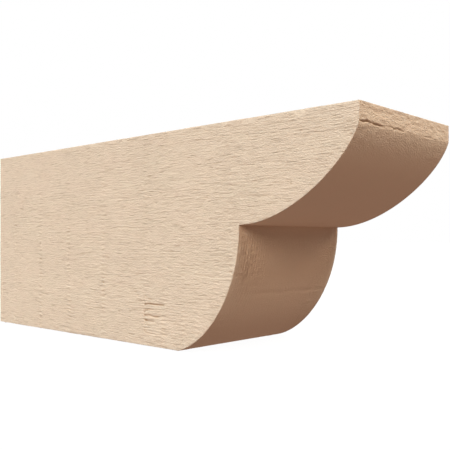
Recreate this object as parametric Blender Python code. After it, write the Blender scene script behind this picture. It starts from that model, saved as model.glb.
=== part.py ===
"""Rafter tail: the shaped end of a beam, as it shows under an eave.

One solid piece. Seen from its side it has a flat nose, a convex round under the nose,
a square step, and a second convex round that runs down into the flat underside.
It lies along +X, from the square end that meets the wall to the nose, with +Z up.
Its origin is the middle of the square end. All sizes are in metres.
"""

import math

import bmesh
import bpy
from mathutils import Vector
from mathutils.geometry import interpolate_bezier

# The beam
LENGTH = 0.508
WIDTH = 0.1524
HEIGHT = 0.2032

# The nose and the round under it, from the nose's lower crease back to the step
NOSE_HEIGHT = 0.0147
UPPER_ROUND_LENGTH = 0.1145
UPPER_ROUND_HEIGHT = 0.0742
UPPER_ROUND_LEAN = math.radians(16.0)
UPPER_ROUND_FULLNESS_AT_NOSE = 0.40
UPPER_ROUND_FULLNESS_AT_STEP = 0.445

# The round from the step down to the heel, where it meets the underside
LOWER_ROUND_LENGTH = 0.0737
LOWER_ROUND_RISE_AT_HEEL = math.radians(15.0)
LOWER_ROUND_FULLNESS_AT_STEP = 0.54
LOWER_ROUND_FULLNESS_AT_HEEL = 0.463

# The eased edges along both sides and over the nose
ARRIS = 0.0005
ARRIS_SEGMENTS = 2

ROUND_SEGMENTS = 28
SMOOTH_BELOW = math.radians(12.0)

# The factory primer
PRIMER_COLOUR = (0.62, 0.49, 0.37, 1.0)
PRIMER_ROUGHNESS = 0.75
PRIMER_METALLIC = 0.0


def clear_scene():
    """Remove whatever the scene holds."""
    for old in list(bpy.data.objects):
        bpy.data.objects.remove(old, do_unlink=True)


def primer():
    """Return the matt tan primer that covers the whole piece."""
    material = bpy.data.materials.new("tan_primer")
    material.use_nodes = True
    shader = material.node_tree.nodes["Principled BSDF"]
    shader.inputs["Base Color"].default_value = PRIMER_COLOUR
    shader.inputs["Roughness"].default_value = PRIMER_ROUGHNESS
    shader.inputs["Metallic"].default_value = PRIMER_METALLIC
    return material


def upper_round(crease, step):
    """Return the round's points, from the nose's lower crease back to the step.

    It leaves the crease leaning back from the vertical and reaches the step level.
    """
    down = UPPER_ROUND_FULLNESS_AT_NOSE * UPPER_ROUND_HEIGHT
    forward = UPPER_ROUND_FULLNESS_AT_STEP * UPPER_ROUND_LENGTH
    crease_handle = crease + Vector((-down * math.tan(UPPER_ROUND_LEAN), -down))
    step_handle = step + Vector((forward, 0.0))
    return interpolate_bezier(crease, crease_handle, step_handle, step, ROUND_SEGMENTS + 1)


def lower_round(step, heel):
    """Return the round's points, from the step down to the heel.

    It leaves the step plumb and meets the underside at a shallow angle.
    """
    down = LOWER_ROUND_FULLNESS_AT_STEP * (step.y - heel.y)
    forward = LOWER_ROUND_FULLNESS_AT_HEEL * LOWER_ROUND_LENGTH
    step_handle = step - Vector((0.0, down))
    heel_handle = heel + Vector((forward, forward * math.tan(LOWER_ROUND_RISE_AT_HEEL)))
    return interpolate_bezier(step, step_handle, heel_handle, heel, ROUND_SEGMENTS + 1)


def side_outline():
    """Return the beam's outline in its side plane, as (x, z) points.

    It runs from the top of the wall end over the nose and back along the underside.
    """
    top = HEIGHT / 2
    nose_top = Vector((LENGTH, top))
    crease = nose_top - Vector((0.0, NOSE_HEIGHT))
    step = crease - Vector((UPPER_ROUND_LENGTH, UPPER_ROUND_HEIGHT))
    heel = Vector((step.x - LOWER_ROUND_LENGTH, -top))
    wall_top = Vector((0.0, top))
    wall_bottom = Vector((0.0, -top))
    rounds = upper_round(crease, step) + lower_round(step, heel)[1:]
    return [wall_top, nose_top] + rounds + [wall_bottom]


def rafter_tail():
    """Build the beam end: the outline carried across the beam's width, edges eased."""
    outline = side_outline()
    shape = bmesh.new()
    near_side = [shape.verts.new((point.x, -WIDTH / 2, point.y)) for point in outline]
    side_face = shape.faces.new(near_side)
    swept = bmesh.ops.extrude_face_region(shape, geom=[side_face])
    far_side = [item for item in swept["geom"] if isinstance(item, bmesh.types.BMVert)]
    bmesh.ops.translate(shape, verts=far_side, vec=(0.0, WIDTH, 0.0))
    bmesh.ops.recalc_face_normals(shape, faces=shape.faces)

    # The edges to ease: along both sides away from the wall end, and over the nose
    eased = shape.edges.layers.float.new("bevel_weight_edge")
    for edge in shape.edges:
        ends = [corner.co for corner in edge.verts]
        along_a_side = ends[0].y == ends[1].y
        on_wall_end = ends[0].x == 0.0 and ends[1].x == 0.0
        over_the_nose = all(end.z == near_side[1].co.z and end.x == near_side[1].co.x for end in ends)
        if over_the_nose or (along_a_side and not on_wall_end):
            edge[eased] = 1.0

    mesh = bpy.data.meshes.new("rafter_tail")
    shape.to_mesh(mesh)
    shape.free()
    mesh.materials.append(primer())
    mesh.shade_smooth()
    mesh.set_sharp_from_angle(angle=SMOOTH_BELOW)

    tail = bpy.data.objects.new("rafter_tail", mesh)
    bpy.context.scene.collection.objects.link(tail)
    bevel = tail.modifiers.new("eased_edges", "BEVEL")
    bevel.limit_method = "WEIGHT"
    bevel.width = ARRIS
    bevel.segments = ARRIS_SEGMENTS
    return tail


clear_scene()
rafter_tail()
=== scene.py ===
# A moulded rafter tail with sawn faces, in a plain studio, seen level from its nose end.

import math

import bpy
import numpy as np
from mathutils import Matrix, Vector
from mathutils.geometry import delaunay_2d_cdt, interpolate_bezier


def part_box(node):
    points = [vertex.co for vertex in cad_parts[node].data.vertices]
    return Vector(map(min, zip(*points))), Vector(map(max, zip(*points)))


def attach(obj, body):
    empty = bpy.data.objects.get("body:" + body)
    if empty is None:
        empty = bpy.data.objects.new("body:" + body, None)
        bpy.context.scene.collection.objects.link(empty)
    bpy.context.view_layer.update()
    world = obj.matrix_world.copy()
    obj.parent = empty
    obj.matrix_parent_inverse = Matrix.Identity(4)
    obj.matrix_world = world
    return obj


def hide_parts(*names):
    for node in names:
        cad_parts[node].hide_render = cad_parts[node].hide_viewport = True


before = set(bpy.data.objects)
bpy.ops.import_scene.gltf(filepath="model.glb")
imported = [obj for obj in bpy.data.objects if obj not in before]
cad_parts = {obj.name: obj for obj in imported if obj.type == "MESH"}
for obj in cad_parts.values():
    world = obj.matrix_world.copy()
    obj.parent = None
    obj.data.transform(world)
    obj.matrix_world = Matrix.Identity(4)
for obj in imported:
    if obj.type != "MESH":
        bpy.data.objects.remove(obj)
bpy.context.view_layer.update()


# The rafter tail. One piece of rigid polyurethane foam, cast in a mould that was taken from
# a rough-sawn beam end, so every face but the cut one carries the saw's marks in relief.
# It leaves the mould with a sprayed coat of tan primer, and is glued and screwed to the wall.

tail_low, tail_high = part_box("rafter_tail")
NOSE = tail_high.x
TOP = tail_high.z
BOTTOM = tail_low.z
WIDTH = tail_high.y - tail_low.y
HALF_WIDTH = WIDTH / 2.0

# The outline, in metres, seen from the side
NOSE_HEIGHT = 0.0147
UPPER_ROUND_LENGTH = 0.1145
UPPER_ROUND_HEIGHT = 0.0742
UPPER_ROUND_LEAN = math.radians(16.0)
UPPER_ROUND_FULLNESS = (0.40, 0.445)
LOWER_ROUND_LENGTH = 0.0737
LOWER_ROUND_RISE = math.radians(15.0)
LOWER_ROUND_FULLNESS = (0.54, 0.463)
ARRIS = 0.0003
ROUND_STEPS = 200

# How far apart the mesh's points lie, in metres. They lie closest where the photo shows most.
ALONG_GRAIN = 0.0075
ACROSS_GRAIN = 0.0009
ACROSS_FAR_GRAIN = 0.0011
ALONG_ROUND = 0.0018
ACROSS_ROUND = 0.0020
ACROSS_COMBED = 0.0009
COMBED_WIDTH = 0.045
DOWN_NOSE = 0.0006
FINE_BELOW_CREASE = 0.003
ON_CUT_END = 0.006
CUT_MARGIN = 0.002
CUT_ROUGH = 0.3

# The saw's strokes, in millimetres along the beam. Those on the near side are set out: where
# each one ends, and how rough it is there. The flanks are the mesh's columns beside each end.
MM = 1000.0
STROKE = 26.0
STROKE_JITTER = 5.0
STROKE_FLANK = 1.7
STROKE_CLEARANCE = 0.7
NEAR_STROKES = np.array((
    (36, 0.7), (63, 0.2), (91, 1.0), (119, 0.2), (147, 1.0), (178, 0.3), (208, 0.9), (236, 0.4),
    (250, 0.2), (275, 0.8), (300, 0.6), (326, 0.6), (344, 0.5), (369, 0.5), (385, 0.8), (415, 0.3),
    (444, 0.6), (476, 0.4),
))


def spaced(points, step, fine=0.0):
    """Return points about one step apart along a line of points, and closer at its fine start."""
    line = np.array([tuple(point) for point in points])
    run = np.concatenate([[0.0], np.cumsum(np.linalg.norm(np.diff(line, axis=0), axis=1))])
    count = max(2, int(round(run[-1] / step)) + 1)
    places = np.linspace(0.0, run[-1], count)
    places = np.concatenate([[0.0], np.arange(DOWN_NOSE, fine, DOWN_NOSE), places[places > fine]])
    return np.column_stack([np.interp(places, run, line[:, k]) for k in range(2)])


def strokes(name):
    """Return where the saw's strokes end along a face, in millimetres, and how rough they are."""
    if name == "near":
        return NEAR_STROKES.T
    chance = np.random.default_rng(SEED[name])
    count = int(NOSE * MM / STROKE)
    lines = (np.arange(count) + 0.6) * STROKE + chance.uniform(-1.0, 1.0, count) * STROKE_JITTER
    return lines, chance.uniform(0.2, 1.0, count)


def grain_columns(name, start, end):
    """Return places along the grain, in metres, with more of them beside each stroke's end."""
    lines = strokes(name)[0]
    steps = np.linspace(start, end, int(round((end - start) / ALONG_GRAIN)) + 1)
    flanks = np.concatenate([lines + STROKE_FLANK * side for side in (-2, -1, 0, 1, 2)]) / MM
    inside = flanks[(flanks > start + ACROSS_GRAIN) & (flanks < end - ACROSS_GRAIN)]
    clearance = STROKE_FLANK * STROKE_CLEARANCE / MM
    clear = np.array([np.abs(inside - place).min() > clearance for place in steps])
    clear[[0, -1]] = True
    return np.sort(np.concatenate([steps[clear], inside]))


def beam_outline():
    """Return the outline's points and the name of the face that each one opens."""
    crease = Vector((NOSE, TOP - NOSE_HEIGHT))
    step = crease - Vector((UPPER_ROUND_LENGTH, UPPER_ROUND_HEIGHT))
    heel = Vector((step.x - LOWER_ROUND_LENGTH, BOTTOM))

    down = UPPER_ROUND_FULLNESS[0] * UPPER_ROUND_HEIGHT
    forward = UPPER_ROUND_FULLNESS[1] * UPPER_ROUND_LENGTH
    crease_handle = crease - Vector((down * math.tan(UPPER_ROUND_LEAN), down))
    step_handle = step + Vector((forward, 0.0))
    upper = interpolate_bezier(crease, crease_handle, step_handle, step, ROUND_STEPS)

    down = LOWER_ROUND_FULLNESS[0] * (step.y - heel.y)
    forward = LOWER_ROUND_FULLNESS[1] * LOWER_ROUND_LENGTH
    step_handle = step - Vector((0.0, down))
    heel_handle = heel + Vector((forward, forward * math.tan(LOWER_ROUND_RISE)))
    lower = interpolate_bezier(step, step_handle, heel_handle, heel, ROUND_STEPS)

    top_columns = grain_columns("top", 0.0, NOSE - ARRIS)
    heel_columns = grain_columns("underside", 0.0, heel.x)[::-1]
    faces = [
        ("top", np.column_stack([top_columns, np.full(len(top_columns), TOP)])),
        ("nose", spaced([(NOSE, TOP - ARRIS), crease], DOWN_NOSE)),
        ("upper", spaced(upper, ALONG_ROUND, FINE_BELOW_CREASE)[1:]),
        ("lower", spaced(lower, ALONG_ROUND)[1:]),
        ("underside", np.column_stack([heel_columns, np.full(len(heel_columns), BOTTOM)])[1:]),
    ]
    points = np.concatenate([run for _, run in faces])
    names = np.concatenate([[name] * len(run) for name, run in faces])
    return points, names, step


def outward(points):
    """Return each point's offset for a unit step outward, mitred where the outline turns."""
    along = np.diff(points, axis=0)
    along /= np.linalg.norm(along, axis=1)[:, None]
    normals = np.column_stack([-along[:, 1], along[:, 0]])
    before = np.concatenate([normals[:1], normals])
    after = np.concatenate([normals, normals[-1:]])
    middle = before + after
    middle /= np.linalg.norm(middle, axis=1)[:, None]
    return middle / np.maximum(0.5, (middle * before).sum(axis=1))[:, None]


SEED = {"near": 11, "far": 23, "top": 37, "underside": 41, "nose": 53, "upper": 61, "lower": 71}
LATTICE = 256


def noise(u, v, seed):
    """Return smooth noise from -1 to 1, with a lattice point at every whole u and v."""
    lattice = np.random.default_rng(seed).uniform(-1.0, 1.0, (LATTICE, LATTICE))
    column = np.floor(u).astype(int)
    row = np.floor(v).astype(int)
    right = u - column
    up = v - row
    right = right * right * (3.0 - 2.0 * right)
    up = up * up * (3.0 - 2.0 * up)
    column, row = column % LATTICE, row % LATTICE
    next_column, next_row = (column + 1) % LATTICE, (row + 1) % LATTICE
    below = lattice[column, row] * (1.0 - right) + lattice[next_column, row] * right
    above = lattice[column, next_row] * (1.0 - right) + lattice[next_column, next_row] * right
    return below * (1.0 - up) + above * up


def ease(value, start, end):
    """Return 0 before start and 1 after end, with a smooth rise between them."""
    share = np.clip((value - start) / (end - start), 0.0, 1.0)
    return share * share * (3.0 - 2.0 * share)


# Relief of the sawn faces, in mm. A size is how far one kind of unevenness runs along the grain
# and across it. The finest real teeth stand 1.3 mm apart: they are drawn coarser, so that they show.
TOOTH_PITCH = 2.6
TOOTH_DEPTH = 0.25
TOOTH_FLOOR = 0.3
TOOTH_PATCH = (22.0, 13.0)
SWELL_SIZE = (48.0, 22.0)
SWELL_DEPTH = 0.11
LUMP_SIZE = (14.0, 4.5)
LUMP_DEPTH = 0.08
CHIP_SIZE = (3.2, 2.7)
CHIP_DEPTH = 0.46
CHIP_HALF_WIDTH = 3.0
CHIP_PATCH = (60.0, 20.0)
CHIP_FADE = 160.0
TORN_HALF_WIDTH = 7.0
NOTCH_PITCH = 4.4
NOTCH_DEPTH = 0.46
NOTCH_PATCH = (30.0, 9.0)
BITE = (0.45, 1.0)
BOW = 1.2
BOW_LENGTH = 34.0
LONG_BEND = 0.9
LONG_BEND_SIZE = (34.0, 14.0)
SHORT_BEND = 0.25
SHORT_BEND_SIZE = (24.0, 6.0)
CRACK_DEPTH = 1.0
CRACK_HALF_WIDTH = 0.75

# How rough the primer lies on the sawn faces: all over, from patch to patch, and by the strokes
SAWN_ROUGH = 0.80
SAWN_ROUGH_PATCH = (40.0, 25.0)
SAWN_ROUGH_CHANGE = 0.12
SAWN_ROUGH_TORN = 0.15

# Knots that the saw marks bend round on the near side: along, up, half width and bend
NEAR_KNOTS = (
    (447, 45, 13, 5.0), (247, -30, 8, 4.5), (134, -22, 15, 5.0), (336, -14, 10, 5.0),
    (488, 20, 12, 3.0),
)

# Gouges on the near side: start and end along it, place up it, half width and depth, in mm.
# The first eight make the torn patch, where one stroke bit deep.
NEAR_GOUGES = (
    (273, 282, -52.5, 0.9, 0.8), (274, 290, -56.5, 0.7, 0.7), (273, 304, -61.4, 0.8, 1.0),
    (275, 292, -66.5, 0.7, 0.7), (273, 300, -72.6, 0.8, 1.1), (273, 293, -77.4, 0.8, 0.9),
    (273, 286, -82.0, 0.8, 0.8), (274, 292, -90.0, 0.7, 0.6),
    (279, 327, 63.6, 0.8, 0.3), (386, 431, 63.2, 0.8, 0.4), (386, 433, 36.3, 0.8, 0.5),
    (349, 378, -32.2, 0.9, 0.5), (368, 386, 54.5, 1.0, 0.4), (208, 272, 42.0, 0.8, 0.3),
    (236, 274, 12.0, 0.8, 0.3), (120, 178, 22.0, 0.8, 0.3), (60, 118, -61.0, 0.8, 0.3),
)

GOUGE_WAVER = 0.8
GOUGE_WAVER_LENGTH = 9.0
GOUGE_TAPER = 9.0

# The torn patch, in mm: where it starts and ends along the beam, its lowest and highest places,
# the scar down its start, and how far apart the mesh's points lie in it
TORN_PATCH = (270.5, 308.0, -94.0, -49.0)
SCAR_PLACE = 2.5
SCAR_WAVER = 0.6
SCAR_WAVER_LENGTH = 5.0
SCAR_HALF_WIDTH = 0.8
SCAR_DEPTH = 0.5
FINE_ALONG = np.concatenate([np.arange(0.0, 5.0, 0.7), np.arange(5.5, 37.5, 3.0)])
FINE_ACROSS = 0.45


def patches(u, v, size, seed):
    """Return noise from -1 to 1 whose patches have this size along and across, in mm."""
    return noise(u / size[0], v / size[1], seed)


def gouges(u, v):
    """Return the near side's height where gouges pull it in, in mm."""
    height = np.zeros_like(u)
    for start, end, place, half_width, depth in NEAR_GOUGES:
        waver = GOUGE_WAVER * noise(u / GOUGE_WAVER_LENGTH, u * 0.0 + place, 5)
        reach = ease(u, start - 1.0, start + 1.5) * (1.0 - ease(u, end - GOUGE_TAPER, end))
        height -= depth * reach * np.exp(-(((v - place - waver) / half_width) ** 2))
    start, end, low, high = TORN_PATCH
    scarred = ease(v, low, low + 4.0) * (1.0 - ease(v, high - 6.0, high))
    scar = start + SCAR_PLACE + SCAR_WAVER * noise(v / SCAR_WAVER_LENGTH, v * 0.0 + 0.5, 6)
    return height - SCAR_DEPTH * scarred * np.exp(-(((u - scar) / SCAR_HALF_WIDTH) ** 2))


def sawn(u, v, name):
    """Return a sawn face's height and roughness at u along the grain and v across it, in mm."""
    seed = SEED[name]
    chance = np.random.default_rng(seed + 1)
    lines, roughness = strokes(name)
    bowed = u + BOW * noise(v / BOW_LENGTH, u * 0.0 + 0.5, seed + 2)
    stroke = np.searchsorted(lines, bowed)
    bite = chance.uniform(*BITE, len(lines) + 1)[stroke]
    phase = chance.uniform(0.0, 2.0 * math.pi, len(lines) + 1)[stroke]
    bend = LONG_BEND * patches(u, v, LONG_BEND_SIZE, seed + 3)
    bend = bend + SHORT_BEND * patches(u, v, SHORT_BEND_SIZE, seed + 4)
    knots = NEAR_KNOTS if name == "near" else ()
    for knot_u, knot_v, reach, turn in knots:
        bend += turn * np.exp(-((u - knot_u) ** 2 + (v - knot_v) ** 2) / reach ** 2)
    teeth = np.sin(2.0 * math.pi * v / TOOTH_PITCH + phase + bend)
    # Each stroke's own patches, so that the teeth come and go in a new place at its end
    ridged = ease(noise(u / TOOTH_PATCH[0] + 5.3 * stroke, v / TOOTH_PATCH[1], seed + 5), -0.9, 0.4)
    height = TOOTH_DEPTH * bite * (TOOTH_FLOOR + (1.0 - TOOTH_FLOOR) * ridged) * teeth
    height += SWELL_DEPTH * patches(u, v, SWELL_SIZE, seed + 6)
    height += LUMP_DEPTH * patches(u, v, LUMP_SIZE, seed + 7)
    away = np.abs(bowed[..., None] - lines)
    nearest = away.argmin(axis=-1)
    away = away.min(axis=-1)
    band = np.exp(-((away / CHIP_HALF_WIDTH) ** 2)) * roughness[nearest]
    chipped = 0.55 + 0.45 * ease(patches(u, v, CHIP_PATCH, seed + 11), -0.5, 0.4)
    band *= chipped * (1.0 - v / CHIP_FADE)
    notch = np.sin(2.0 * math.pi * v / NOTCH_PITCH + 2.5 * patches(u, v, NOTCH_PATCH, seed + 9))
    height += band * (CHIP_DEPTH * patches(u, v, CHIP_SIZE, seed + 8) + NOTCH_DEPTH * notch)
    if name == "near":
        height += gouges(u, v)
    torn = np.exp(-((away / TORN_HALF_WIDTH) ** 2)) * roughness[nearest]
    rough = SAWN_ROUGH + SAWN_ROUGH_CHANGE * patches(u, v, SAWN_ROUGH_PATCH, seed + 10)
    return height, rough + SAWN_ROUGH_TORN * torn


# Pits seen on the near side: along the beam, up from its middle, radius and depth, in mm
NEAR_PITS = (
    (105, 45, 1.5, 0.5), (166, 76, 1.4, 0.5), (172, -48, 1.5, 0.6), (178, 10, 1.2, 0.4),
    (207, 76, 1.3, 0.5), (206, 31, 1.6, 0.5), (219, -2, 1.2, 0.6), (233, 37, 1.5, 0.6),
    (246, -30, 1.5, 0.7), (235, -73, 2.6, 0.5), (275, 24, 1.6, 0.5), (280, 10, 1.3, 0.5),
    (290, 35, 1.3, 0.5), (307, -26, 1.1, 0.6), (305, -89, 1.8, 0.5), (318, 39, 1.3, 0.6),
    (331, -58, 1.2, 0.5), (357, 37, 1.0, 0.7), (362, 45, 1.2, 0.5), (382, 22, 1.5, 0.4),
    (384, 6, 1.3, 0.4), (447, 45, 1.9, 0.8), (501, 77, 1.2, 0.6), (52, -20, 1.5, 0.5),
)
SCATTERED_PITS = 50
PIT_FALL = 1.6
# The mesh's points round each pit: how far from its middle, in radii, and how many
PIT_RINGS = ((0.0, 1), (0.55, 6), (1.15, 8))


def pits(name, count):
    """Return small pits on a side as rows of place along and up, radius and depth, in mm."""
    chance = np.random.default_rng(SEED[name] + 20)
    along = chance.uniform(0.0, NOSE * MM, count)
    up = chance.uniform(BOTTOM * MM, TOP * MM, count)
    radius = chance.uniform(0.6, 1.2, count)
    depth = chance.uniform(0.15, 0.4, count)
    scattered = np.column_stack([along, up, radius, depth])
    if name == "near":
        return np.concatenate([np.array(NEAR_PITS), scattered])
    return scattered


def sink(u, v, holes):
    """Return how far the pits pull the face in at u and v, in mm."""
    height = np.zeros_like(u)
    for hole_u, hole_v, radius, depth in holes:
        away = ((u - hole_u) ** 2 + (v - hole_v) ** 2) / radius ** 2
        height -= depth * np.exp(-away * PIT_FALL)
    return height


def crack(below, v):
    """Return how deep the crack along the nose's crease is, in mm below and across it."""
    seed = SEED["nose"]
    middle = v * 0.0
    open_share = ease(noise(v / 18.0, middle + 0.5, seed + 3) - v / 110.0, -0.3, 0.5)
    long_waver = 0.7 * noise(v / 9.0, middle + 2.5, seed + 4)
    short_waver = 0.6 * noise(v / 3.0, middle + 4.5, seed + 5)
    centre = -0.3 + long_waver + short_waver
    return CRACK_DEPTH * open_share * np.exp(-(((below - centre) / CRACK_HALF_WIDTH) ** 2))


# The nose's coarse lumps and fine ones: how far each runs across and down it, and how deep, in mm
NOSE_LUMPS = ((8.0, 2.4, 0.28), (3.6, 1.9, 0.22))
NOSE_ROUGH = 1.05

# The upper round: where its roughness starts and stops fading, in mm below the crease
UPPER_FADE = (6.0, 28.0)

# The lower round, in mm: the combing down it, the ripples across that, and the ledge. The combing
# is strongest by the near side, fades toward the middle, and is worn away low down.
COMB_PITCH = 3.5
COMB_DEPTH = 0.28
RIPPLE_PITCH = 5.4
RIPPLE_DEPTH = 0.16
PLAIN_DEPTH = 0.04
CRUMB_SIZE = (4.4, 2.2)
CRUMB_DEPTH = 0.42
CRUMB_DEPTH_FAR = 0.20
CRUMB_DEPTH_PLAIN = 0.06
NEAR_STRIP = (-76.0, -10.0)
FAR_STRIP = (30.0, 76.0)
WORN = (38.0, 58.0)
LEDGE_PLACE = 62.0
LEDGE_WAVER = 1.5
LEDGE_DEPTH = 0.45
LEDGE_HALF_WIDTH = 1.5


def cast_nose(u, v, name):
    """Return the nose's height and roughness, u down from its top and v across it, in mm."""
    seed = SEED[name]
    height = np.zeros_like(u)
    for number, (wide, tall, depth) in enumerate(NOSE_LUMPS, 1):
        height += depth * noise(v / wide, u / tall, seed + number)
    return height - crack(u - NOSE_HEIGHT * MM, v), np.full(u.shape, NOSE_ROUGH)


def cast_upper(u, v, name):
    """Return the upper round's relief: rough under the nose, nearly smooth further down."""
    seed = SEED[name]
    rough = 1.0 - ease(u, *UPPER_FADE)
    height = (0.03 + 0.17 * rough) * noise(v / 4.6, u / 3.4, seed + 1)
    height += 0.06 * noise(v / 9.0, u / 30.0, seed + 2)
    return height - crack(u, v), 0.35 + 0.75 * rough


def cast_lower(u, v, name):
    """Return the lower round's relief: fine combing down it, strongest by the near side."""
    seed = SEED[name]
    near = 1.0 - ease(v, *NEAR_STRIP)
    far = ease(v, *FAR_STRIP)
    worn = 1.0 - 0.75 * ease(u, *WORN)
    comb = np.sin(2.0 * math.pi * v / COMB_PITCH + noise(v / 12.0, u / 30.0, seed + 1))
    ripple = np.sin(2.0 * math.pi * u / RIPPLE_PITCH + 1.5 * noise(v / 15.0, u / 12.0, seed + 4))
    crumb = noise(v / CRUMB_SIZE[0], u / CRUMB_SIZE[1], seed + 2)
    height = (PLAIN_DEPTH + COMB_DEPTH * near * worn) * comb + RIPPLE_DEPTH * near * worn * ripple
    height += (CRUMB_DEPTH_PLAIN + CRUMB_DEPTH * near * worn + CRUMB_DEPTH_FAR * far) * crumb
    ledge_place = LEDGE_PLACE + LEDGE_WAVER * noise(v / 20.0, u * 0.0 + 0.5, seed + 3)
    ledge = np.exp(-(((u - ledge_place) / LEDGE_HALF_WIDTH) ** 2))
    height -= LEDGE_DEPTH * ease(v, -60.0, -20.0) * ledge
    return height, 0.50 + 0.6 * near * worn + 0.4 * far


def mesh_side(ring, columns, rows, holes, patch):
    """Return points and triangles that fill a side inside its ring of points, in metres.

    They lie closer together in the patch, if there is one, and round the holes.
    """
    grid = np.array([(x, z) for x in columns for z in rows])
    if patch:
        start, end, low, high = (edge / MM for edge in patch)
        beside = (grid[:, 0] < start) | (grid[:, 0] > end)
        outside = beside | (grid[:, 1] < low) | (grid[:, 1] > high)
        fine_rows = np.arange(low, high, FINE_ACROSS / MM)
        fine = [(start + x / MM, z) for x in FINE_ALONG for z in fine_rows]
        grid = np.concatenate([grid[outside], fine])
    around = []
    for hole_u, hole_v, radius, _ in holes:
        for share, count in PIT_RINGS:
            turn = np.arange(count) * 2.0 * math.pi / count
            rim_u = hole_u + share * radius * np.cos(turn)
            rim_v = hole_v + share * radius * np.sin(turn)
            around.append(np.column_stack([rim_u, rim_v]) / MM)
    grid = np.concatenate([grid] + around)
    start, end = ring, np.roll(ring, -1, axis=0)
    inside = np.zeros(len(grid), dtype=bool)
    gap = np.full(len(grid), 1.0)
    for (x0, z0), (x1, z1) in zip(start, end):
        if z0 != z1:
            crosses = (grid[:, 1] < z0) != (grid[:, 1] < z1)
            inside ^= crosses & (grid[:, 0] < x0 + (x1 - x0) * (grid[:, 1] - z0) / (z1 - z0))
        side = np.array([x1 - x0, z1 - z0])
        share = np.clip(((grid - (x0, z0)) @ side) / (side @ side), 0.0, 1.0)
        gap = np.minimum(gap, np.linalg.norm(grid - (x0, z0) - share[:, None] * side, axis=1))
    grid = grid[inside & (gap > 0.5 * ACROSS_GRAIN)]
    points = np.concatenate([ring, grid])
    return points, triangles_inside(points, len(ring))


INSIDE_ONLY = 1
MERGE_WITHIN = 1e-7


def triangles_inside(points, ring_length):
    """Return triangles over all the points, inside the ring that the first of them make."""
    flat = [Vector(point) for point in points]
    made = delaunay_2d_cdt(flat, [], [list(range(ring_length))], INSIDE_ONLY, MERGE_WITHIN)
    source = [origins[0] if origins else None for origins in made[3]]
    return [[source[corner] for corner in face] for face in made[2]]


RELIEF = {"top": sawn, "nose": cast_nose, "upper": cast_upper, "lower": cast_lower, "underside": sawn}
SAWN = ("top", "underside")

# How much of the relief is left at an edge, and how far from it the relief is full again, in mm
EDGE_SHARE = 0.4
EDGE_REACH = 4.0
STEP_REACH = 5.0
BROW_REACH = 3.0

points, names, step = beam_outline()
offsets = outward(points)
combed = np.arange(-HALF_WIDTH + ARRIS, -HALF_WIDTH + COMBED_WIDTH, ACROSS_COMBED)
wide = int(round((HALF_WIDTH - ARRIS - combed[-1]) / ACROSS_ROUND))
ys = np.concatenate([combed, np.linspace(combed[-1], HALF_WIDTH - ARRIS, wide + 1)[1:]])
vertices = []
traits = []
faces = []


def add(places, height, rough, grain):
    """Add vertices with relief in mm, roughness and share of grain; return the first's number."""
    first = sum(len(group) for group in vertices)
    vertices.append(np.asarray(places, dtype=float).reshape(-1, 3))
    traits.append(np.column_stack([np.ravel(height), np.ravel(rough), np.ravel(grain)]))
    return first


# The skin that runs over the top, the nose, the rounds and the underside
run = np.concatenate([[0.0], np.cumsum(np.linalg.norm(np.diff(points, axis=0), axis=1))]) * MM
relief, rough = np.zeros((2, len(points), len(ys)))
across = ys * MM
for name, relief_of in RELIEF.items():
    rows = names == name
    u, v = np.meshgrid(run[rows] - run[rows][0], across, indexing="ij")
    relief[rows], rough[rows] = relief_of(u, v, name)
relief *= EDGE_SHARE + (1.0 - EDGE_SHARE) * ease(HALF_WIDTH * MM - np.abs(across), 0.0, EDGE_REACH)
from_step = np.hypot(points[:, 0] - step.x, points[:, 1] - step.y) * MM
from_brow = np.hypot(points[:, 0] - NOSE, points[:, 1] - TOP) * MM
relief *= ease(from_step, 0.0, STEP_REACH)[:, None]
relief *= EDGE_SHARE + (1.0 - EDGE_SHARE) * ease(from_brow, 0.0, BROW_REACH)[:, None]
skin_x = points[:, :1] + offsets[:, :1] * relief / MM
skin_z = points[:, 1:] + offsets[:, 1:] * relief / MM
skin = np.stack([skin_x, np.broadcast_to(ys, skin_x.shape), skin_z], axis=-1)
grained = np.repeat(np.isin(names, SAWN)[:, None].astype(float), len(ys), axis=1)
first_skin = add(skin, relief, rough, grained)
skin_index = first_skin + np.arange(skin_x.size).reshape(skin_x.shape)
for i in range(len(points) - 1):
    for j in range(len(ys) - 1):
        front, back = skin_index[i], skin_index[i + 1]
        faces.append((front[j], back[j], back[j + 1], front[j + 1]))

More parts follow.
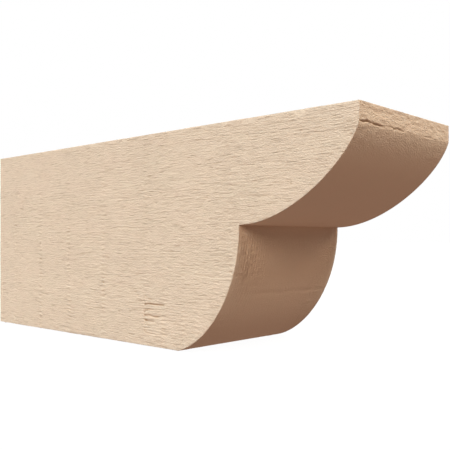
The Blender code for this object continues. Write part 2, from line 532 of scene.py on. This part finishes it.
# The two sides, each with its arris: the way it faces, how far apart its rows lie, and its patch
SIDES = (("near", -1.0, ACROSS_GRAIN, TORN_PATCH), ("far", 1.0, ACROSS_FAR_GRAIN, None))
ROOT_HALF = math.sqrt(0.5)
end_rings = []
for name, way, across_grain, patch in SIDES:
    rows_z = np.arange(BOTTOM + ARRIS, TOP - ARRIS, across_grain)
    ring = points - offsets * ARRIS
    ring[:, 0] = np.maximum(ring[:, 0], 0.0)
    clear = 0.5 * ACROSS_GRAIN
    end_z = rows_z[(rows_z > ring[-1, 1] + clear) & (rows_z < ring[0, 1] - clear)]
    closed = np.concatenate([ring, np.column_stack([np.zeros(len(end_z)), end_z])])
    columns = grain_columns(name, 0.0, NOSE)[1:]
    holes = pits(name, SCATTERED_PITS)
    places, triangles = mesh_side(closed, columns, rows_z, holes, patch)
    u, v = places[:, 0] * MM, places[:, 1] * MM
    height, rough_side = sawn(u, v, name)
    height += sink(u, v, holes)
    height[: len(points)] *= EDGE_SHARE
    side = np.column_stack([places[:, 0], way * (HALF_WIDTH + height / MM), places[:, 1]])
    first_side = add(side, height, rough_side, np.ones(len(side)))
    for a, b, c in triangles:
        ordered = (a, b, c) if way < 0 else (a, c, b)
        faces.append(tuple(first_side + corner for corner in ordered))
    edge = 0 if way < 0 else len(ys) - 1
    bend = 1.0 - ROOT_HALF
    middle = points - offsets * ARRIS * bend
    middle[:, 0] = np.maximum(middle[:, 0], 0.0)
    shift = (side[: len(points), 1] - way * HALF_WIDTH) * ROOT_HALF
    lift = relief[:, edge] / MM * ROOT_HALF
    arris = np.column_stack([
        middle[:, 0] + offsets[:, 0] * lift,
        way * (HALF_WIDTH - ARRIS * bend) + shift,
        middle[:, 1] + offsets[:, 1] * lift,
    ])
    first_arris = add(arris, relief[:, edge], rough[:, edge], grained[:, edge])
    outer = skin_index[:, edge]
    inner = first_side + np.arange(len(points))
    between = first_arris + np.arange(len(points))
    for i in range(len(points) - 1):
        for a, b in ((inner, between), (between, outer)):
            quad = (a[i], a[i + 1], b[i + 1], b[i])
            faces.append(quad if way < 0 else quad[::-1])
    end_column = first_side + len(points) + np.arange(len(end_z))
    end_rings.append(([between[0], inner[0]], list(end_column), [inner[-1], between[-1]]))

# The end that was cut square
near_end, far_end = end_rings
loop = list(skin_index[0, ::-1]) + near_end[0] + near_end[1][::-1] + near_end[2]
loop += list(skin_index[-1]) + far_end[2][::-1] + far_end[1] + far_end[0][::-1]
everything = np.concatenate(vertices)
rim = everything[loop][:, 1:]
inner_y = np.arange(-HALF_WIDTH + ON_CUT_END / 2, HALF_WIDTH, ON_CUT_END)
inner_z = np.arange(BOTTOM + ON_CUT_END / 2, TOP, ON_CUT_END)
inner_y = inner_y[np.abs(inner_y) < HALF_WIDTH - CUT_MARGIN]
inner_z = inner_z[(inner_z > BOTTOM + CUT_MARGIN) & (inner_z < TOP - CUT_MARGIN)]
inner_grid = np.array([(y, z) for y in inner_y for z in inner_z])
flat = np.concatenate([rim, inner_grid])
triangles = triangles_inside(flat, len(loop))
plain = np.zeros(len(inner_grid))
first_inner = add(np.column_stack([plain, inner_grid]), plain, plain + CUT_ROUGH, plain)
number = loop + [first_inner + k for k in range(len(inner_grid))]
for a, b, c in triangles:
    faces.append((number[a], number[c], number[b]))

SHARP_ABOVE = math.radians(50.0)
mesh = bpy.data.meshes.new("moulded_rafter_tail")
corners = [tuple(int(k) for k in face) for face in faces]
mesh.from_pydata(np.concatenate(vertices).tolist(), [], corners)
for name, values in zip(("relief", "rough", "grain"), np.concatenate(traits).T):
    mesh.attributes.new(name, "FLOAT", "POINT").data.foreach_set("value", values.astype(np.float32))
mesh.validate()
mesh.shade_smooth()
mesh.set_sharp_from_angle(angle=SHARP_ABOVE)
tail = bpy.data.objects.new("moulded_rafter_tail", mesh)
bpy.context.scene.collection.objects.link(tail)


def linear(hex_colour):
    """Return an sRGB hex colour as linear red, green, blue and full alpha."""
    channels = [int(hex_colour[k:k + 2], 16) / 255.0 for k in (1, 3, 5)]
    return tuple(c / 12.92 if c <= 0.04045 else ((c + 0.055) / 1.055) ** 2.4 for c in channels) + (1.0,)


def node(tree, kind, settings, inputs):
    """Add a node, give it its settings, and link or set its inputs, named by identifier."""
    made = tree.nodes.new(kind)
    for name, value in settings.items():
        setattr(made, name, value)
    for name, value in inputs.items():
        socket = next(entry for entry in made.inputs if entry.identifier == name)
        if isinstance(value, bpy.types.NodeSocket):
            tree.links.new(value, socket)
        else:
            socket.default_value = value
    return made


# The primer's fine relief, in metres: how long, wide and deep its marks are. Real primer's grit
# is 0.1 to 0.3 mm across. It is drawn several times coarser, since finer grit doesn't show.
FIBRE_LENGTH, FIBRE_WIDTH, FIBRE_DEPTH = 0.011, 0.00095, 0.00068
TEAR_LENGTH, TEAR_WIDTH, TEAR_DEPTH = 0.014, 0.0014, 0.00034
GRIT_LENGTH, GRIT_WIDTH, GRIT_DEPTH = 0.0018, 0.0010, 0.00120
MOTTLE_LENGTH, MOTTLE_WIDTH = 0.040, 0.014

# The primer's colours, and how far the low places turn to the darker brown one: painted shade in the
# hollows
PRIMER = "#dcc1a9"
PRIMER_MOTTLED = "#d9c2a9"
PRIMER_PAINTED_SHADE = "#9c7757"
PRIMER_ROUGHNESS = 0.82
PRIMER_SPECULAR = 0.25
PAINTED_SHADE_BY_RELIEF = 0.9
PAINTED_SHADE_BY_GRAIN = 0.24
PAINTED_SHADE_BY_TEAR = 0.20
PLAIN_FIBRE = 0.5


def tan_primer():
    """Return the tan acrylic primer, sprayed on moulded foam.

    It gives the eye an even, matt coat with no sheen, faintly gritty. Its marks and hollows are
    painted a little darker and browner, as painted shade.
    """
    material = bpy.data.materials.new("tan_acrylic_primer_sprayed_on_foam")
    material.use_nodes = True
    tree = material.node_tree
    place = node(tree, "ShaderNodeTexCoord", {}, {}).outputs["Object"]
    relief = node(tree, "ShaderNodeAttribute", {"attribute_name": "relief"}, {}).outputs["Fac"]
    rough = node(tree, "ShaderNodeAttribute", {"attribute_name": "rough"}, {}).outputs["Fac"]
    grain = node(tree, "ShaderNodeAttribute", {"attribute_name": "grain"}, {}).outputs["Fac"]

    def marks(length, width, detail):
        """Return noise stretched along the grain to marks of one length and width."""
        scale = (1.0 / length, 1.0 / width, 1.0 / width)
        stretched = node(tree, "ShaderNodeVectorMath", {"operation": "MULTIPLY"}, {
            "Vector": place, "Vector_001": scale,
        })
        return node(tree, "ShaderNodeTexNoise", {}, {
            "Vector": stretched.outputs[0], "Scale": 1.0, "Detail": detail, "Roughness": 0.55,
        }).outputs["Fac"]

    fibre = marks(FIBRE_LENGTH, FIBRE_WIDTH, 2.0)
    torn = marks(TEAR_LENGTH, TEAR_WIDTH, 1.0)
    grit = marks(GRIT_LENGTH, GRIT_WIDTH, 2.0)
    mottle = marks(MOTTLE_LENGTH, MOTTLE_WIDTH, 2.0)

    # Fibres and tears lie on the sawn faces alone
    torn = node(tree, "ShaderNodeMapRange", {}, {
        "Value": torn, "From Min": 0.60, "From Max": 0.72,
    }).outputs[0]
    torn = node(tree, "ShaderNodeMath", {"operation": "MULTIPLY"}, {
        "Value": torn, "Value_001": grain,
    }).outputs[0]
    fibre = node(tree, "ShaderNodeMapRange", {}, {
        "Value": grain, "To Min": PLAIN_FIBRE, "To Max": fibre,
    }).outputs[0]

    height = node(tree, "ShaderNodeMath", {"operation": "MULTIPLY"}, {
        "Value": fibre, "Value_001": FIBRE_DEPTH,
    })
    for layer, depth in ((grit, GRIT_DEPTH), (torn, -TEAR_DEPTH)):
        height = node(tree, "ShaderNodeMath", {"operation": "MULTIPLY_ADD"}, {
            "Value": layer, "Value_001": depth, "Value_002": height.outputs[0],
        })
    height = node(tree, "ShaderNodeMath", {"operation": "MULTIPLY"}, {
        "Value": height.outputs[0], "Value_001": rough,
    })
    bump = node(tree, "ShaderNodeBump", {}, {
        "Strength": 1.0, "Distance": 1.0, "Height": height.outputs[0],
    })

    tint = node(tree, "ShaderNodeMix", {"data_type": "RGBA"}, {
        "Factor_Float": mottle, "A_Color": linear(PRIMER), "B_Color": linear(PRIMER_MOTTLED),
    }).outputs[2]
    # Painted shade: where the relief sinks deepest (pits, gouges, chips, notches, the crack) the primer
    # is painted darker and browner
    relief_painted_shade = node(tree, "ShaderNodeMapRange", {}, {
        "Value": relief, "From Min": -0.40, "From Max": -1.1, "To Min": 0.0, "To Max": PAINTED_SHADE_BY_RELIEF,
    }).outputs[0]
    # Painted shade: the hollows of the fine grain, and the tears, are painted darker and browner
    grain_painted_shade = node(tree, "ShaderNodeMapRange", {}, {
        "Value": fibre, "From Min": 0.50, "From Max": 0.30, "To Min": 0.0, "To Max": PAINTED_SHADE_BY_GRAIN,
    }).outputs[0]
    grain_painted_shade = node(tree, "ShaderNodeMath", {"operation": "MULTIPLY_ADD"}, {
        "Value": torn, "Value_001": PAINTED_SHADE_BY_TEAR, "Value_002": grain_painted_shade,
    }).outputs[0]
    # All the painted shade of the hollows together
    low = node(tree, "ShaderNodeMath", {"operation": "ADD", "use_clamp": True}, {
        "Value": grain_painted_shade, "Value_001": relief_painted_shade,
    }).outputs[0]
    # The primer turns toward its painted-shade brown in the hollows
    colour = node(tree, "ShaderNodeMix", {"data_type": "RGBA"}, {
        "Factor_Float": low, "A_Color": tint, "B_Color": linear(PRIMER_PAINTED_SHADE),
    })
    shader = tree.nodes["Principled BSDF"]
    shader.inputs["Roughness"].default_value = PRIMER_ROUGHNESS
    shader.inputs["Specular IOR Level"].default_value = PRIMER_SPECULAR
    tree.links.new(colour.outputs[2], shader.inputs["Base Color"])
    tree.links.new(bump.outputs["Normal"], shader.inputs["Normal"])
    return material


mesh.materials.append(tan_primer())
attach(tail, "root")
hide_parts("rafter_tail")


# The floor. A pale studio table of opal acrylic, lit from below, on which the piece stands on its
# own flat underside. It glows evenly and has no sheen, so it is nearly white to the eye, and the
# shadow on it stays faint.

FLOOR_SIDE = 40.0
FLOOR_COLOUR = "#404040"
FLOOR_GLOW = 0.97
lowest = np.concatenate(vertices)[:, 2].min()
bpy.ops.mesh.primitive_plane_add(size=FLOOR_SIDE, location=(0.0, 0.0, lowest))
floor = bpy.context.object
floor.name = "studio_floor"
floor_material = bpy.data.materials.new("opal_acrylic_lit_table")
floor_material.use_nodes = True
floor_shader = floor_material.node_tree.nodes["Principled BSDF"]
floor_shader.inputs["Base Color"].default_value = linear(FLOOR_COLOUR)
floor_shader.inputs["Roughness"].default_value = 1.0
floor_shader.inputs["Specular IOR Level"].default_value = 0.0
floor_shader.inputs["Emission Color"].default_value = linear("#ffffff")
floor_shader.inputs["Emission Strength"].default_value = FLOOR_GLOW
floor.data.materials.append(floor_material)
floor.visible_diffuse = False
floor.visible_glossy = False
floor.visible_shadow = False


# The light and the camera. Six large, soft lamps stand far off round the piece, and dim, warm light
# comes back from below. Their colours and strengths follow the shading of each face in the photo.
# The camera is level with the middle of the beam, and looks at its near side and its nose.

def sun(name, azimuth, rise, spread, strength, colour):
    """Add a soft sun, placed by degrees round from the nose end and degrees up."""
    turn, lift = math.radians(azimuth), math.radians(rise)
    toward = Vector((math.cos(turn) * math.cos(lift), math.sin(turn) * math.cos(lift), math.sin(lift)))
    lamp = bpy.data.lights.new(name, "SUN")
    lamp.energy = strength
    lamp.angle = math.radians(spread)
    lamp.color = colour
    holder = bpy.data.objects.new(name, lamp)
    holder.rotation_euler = toward.to_track_quat("Z", "Y").to_euler()
    bpy.context.scene.collection.objects.link(holder)


sun("front_light", 0.0, 52.0, 24.0, 1.91, (0.88, 1.0, 0.985))
sun("near_front_light", -58.0, 27.0, 29.0, 1.99, (1.0, 0.80, 0.62))
sun("far_front_light", 65.0, 40.0, 30.0, 1.15, (1.0, 0.76, 0.58))
sun("near_light", -93.0, 30.0, 32.0, 2.59, (0.575, 0.835, 1.0))
sun("far_light", 95.0, 18.0, 32.0, 1.25, (0.75, 0.90, 1.0))
sun("wall_end_light", 180.0, 15.0, 35.0, 2.10, (0.95, 0.98, 1.0))

FROM_BELOW = (0.356, 0.246, 0.200, 1.0)
FROM_ABOVE = (0.06, 0.06, 0.06, 1.0)
world = bpy.data.worlds.new("studio")
bpy.context.scene.world = world
world.use_nodes = True
sky = world.node_tree
background = sky.nodes["Background"]
direction = node(sky, "ShaderNodeTexCoord", {}, {})
parts = node(sky, "ShaderNodeSeparateXYZ", {}, {"Vector": direction.outputs["Generated"]})
rise = node(sky, "ShaderNodeMapRange", {}, {
    "Value": parts.outputs["Z"], "From Min": -0.1, "From Max": 0.1,
})
ambient = node(sky, "ShaderNodeMix", {"data_type": "RGBA"}, {
    "Factor_Float": rise.outputs[0], "A_Color": FROM_BELOW, "B_Color": FROM_ABOVE,
})
rays = node(sky, "ShaderNodeLightPath", {}, {})
seen = node(sky, "ShaderNodeMix", {"data_type": "RGBA"}, {
    "Factor_Float": rays.outputs["Is Camera Ray"],
    "A_Color": ambient.outputs[2],
    "B_Color": linear("#ffffff"),
})
sky.links.new(seen.outputs[2], background.inputs["Color"])

# The photo's side, focal length and principal point, in pixels, and the camera's place
PHOTO_SIDE = 450.0
FOCAL_PIXELS = 661.4
PRINCIPAL_POINT = (205.0, 240.04)
SENSOR = 36.0
CAMERA_PLACE = (0.7571, -0.4982, 0.0001)
CAMERA_TURN = math.radians(43.683)
camera_data = bpy.data.cameras.new("camera")
camera_data.sensor_width = SENSOR
camera_data.lens = FOCAL_PIXELS / PHOTO_SIDE * SENSOR
camera_data.shift_x = 0.5 - PRINCIPAL_POINT[0] / PHOTO_SIDE
camera_data.shift_y = PRINCIPAL_POINT[1] / PHOTO_SIDE - 0.5
camera = bpy.data.objects.new("camera", camera_data)
camera.location = CAMERA_PLACE
camera.rotation_euler = (math.radians(90.0), 0.0, CAMERA_TURN)
bpy.context.scene.collection.objects.link(camera)
bpy.context.scene.camera = camera
bpy.context.scene.view_settings.view_transform = "Standard"
